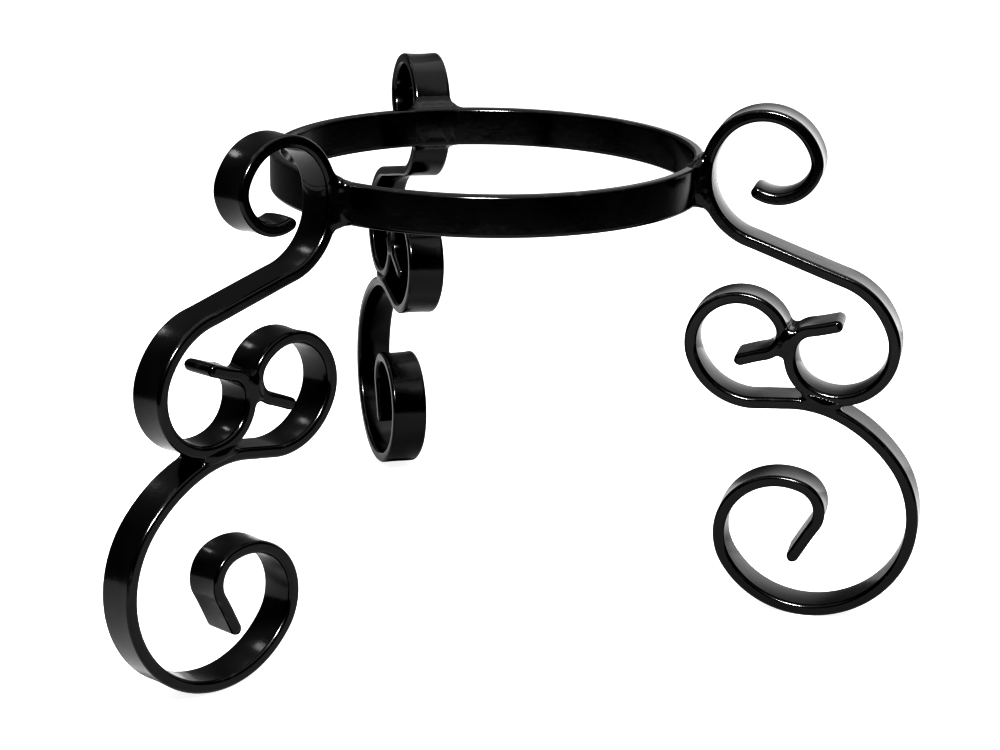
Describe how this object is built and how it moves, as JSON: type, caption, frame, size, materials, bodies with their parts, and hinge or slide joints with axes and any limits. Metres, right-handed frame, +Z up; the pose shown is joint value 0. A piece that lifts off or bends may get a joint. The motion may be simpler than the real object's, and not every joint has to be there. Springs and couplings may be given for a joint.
{
  "type": "three-legged scroll stand",
  "caption": "Black painted wrought-iron stand: a flat-bar ring carried by legs of bent flat-bar scrolls, for a pot, bowl or globe.",
  "frame": {"origin": "on the ring's axis, at the middle of the height of its band", "axes": "+Z up along the ring's axis; +X from the ring's axis towards leg a; legs b and c follow at 120 and 240 degrees"},
  "size_m": [0.357, 0.4302, 0.2576],
  "materials": {
    "black_paint": "gloss black paint over mild steel flat bar",
    "black_paint_weld": "gloss black paint over rippled weld metal"
  },
  "bodies": {
    "root": {"ring": "black_paint", "upper_scroll_a": "black_paint", "upper_scroll_b": "black_paint", "upper_scroll_c": "black_paint", "lower_scroll_a": "black_paint", "lower_scroll_b": "black_paint", "lower_scroll_c": "black_paint", "ring_bead_a_left": "black_paint_weld", "ring_bead_a_right": "black_paint_weld", "ring_bead_b_left": "black_paint_weld", "ring_bead_b_right": "black_paint_weld", "ring_bead_c_left": "black_paint_weld", "ring_bead_c_right": "black_paint_weld", "tail_bead_a_high": "black_paint_weld", "tail_bead_a_low": "black_paint_weld", "tail_bead_b_high": "black_paint_weld", "tail_bead_b_low": "black_paint_weld", "tail_bead_c_high": "black_paint_weld", "tail_bead_c_low": "black_paint_weld", "belly_bead_a_inner": "black_paint_weld", "belly_bead_a_outer": "black_paint_weld", "belly_bead_b_inner": "black_paint_weld", "belly_bead_b_outer": "black_paint_weld", "belly_bead_c_inner": "black_paint_weld", "belly_bead_c_outer": "black_paint_weld"}
  },
  "joints": []
}
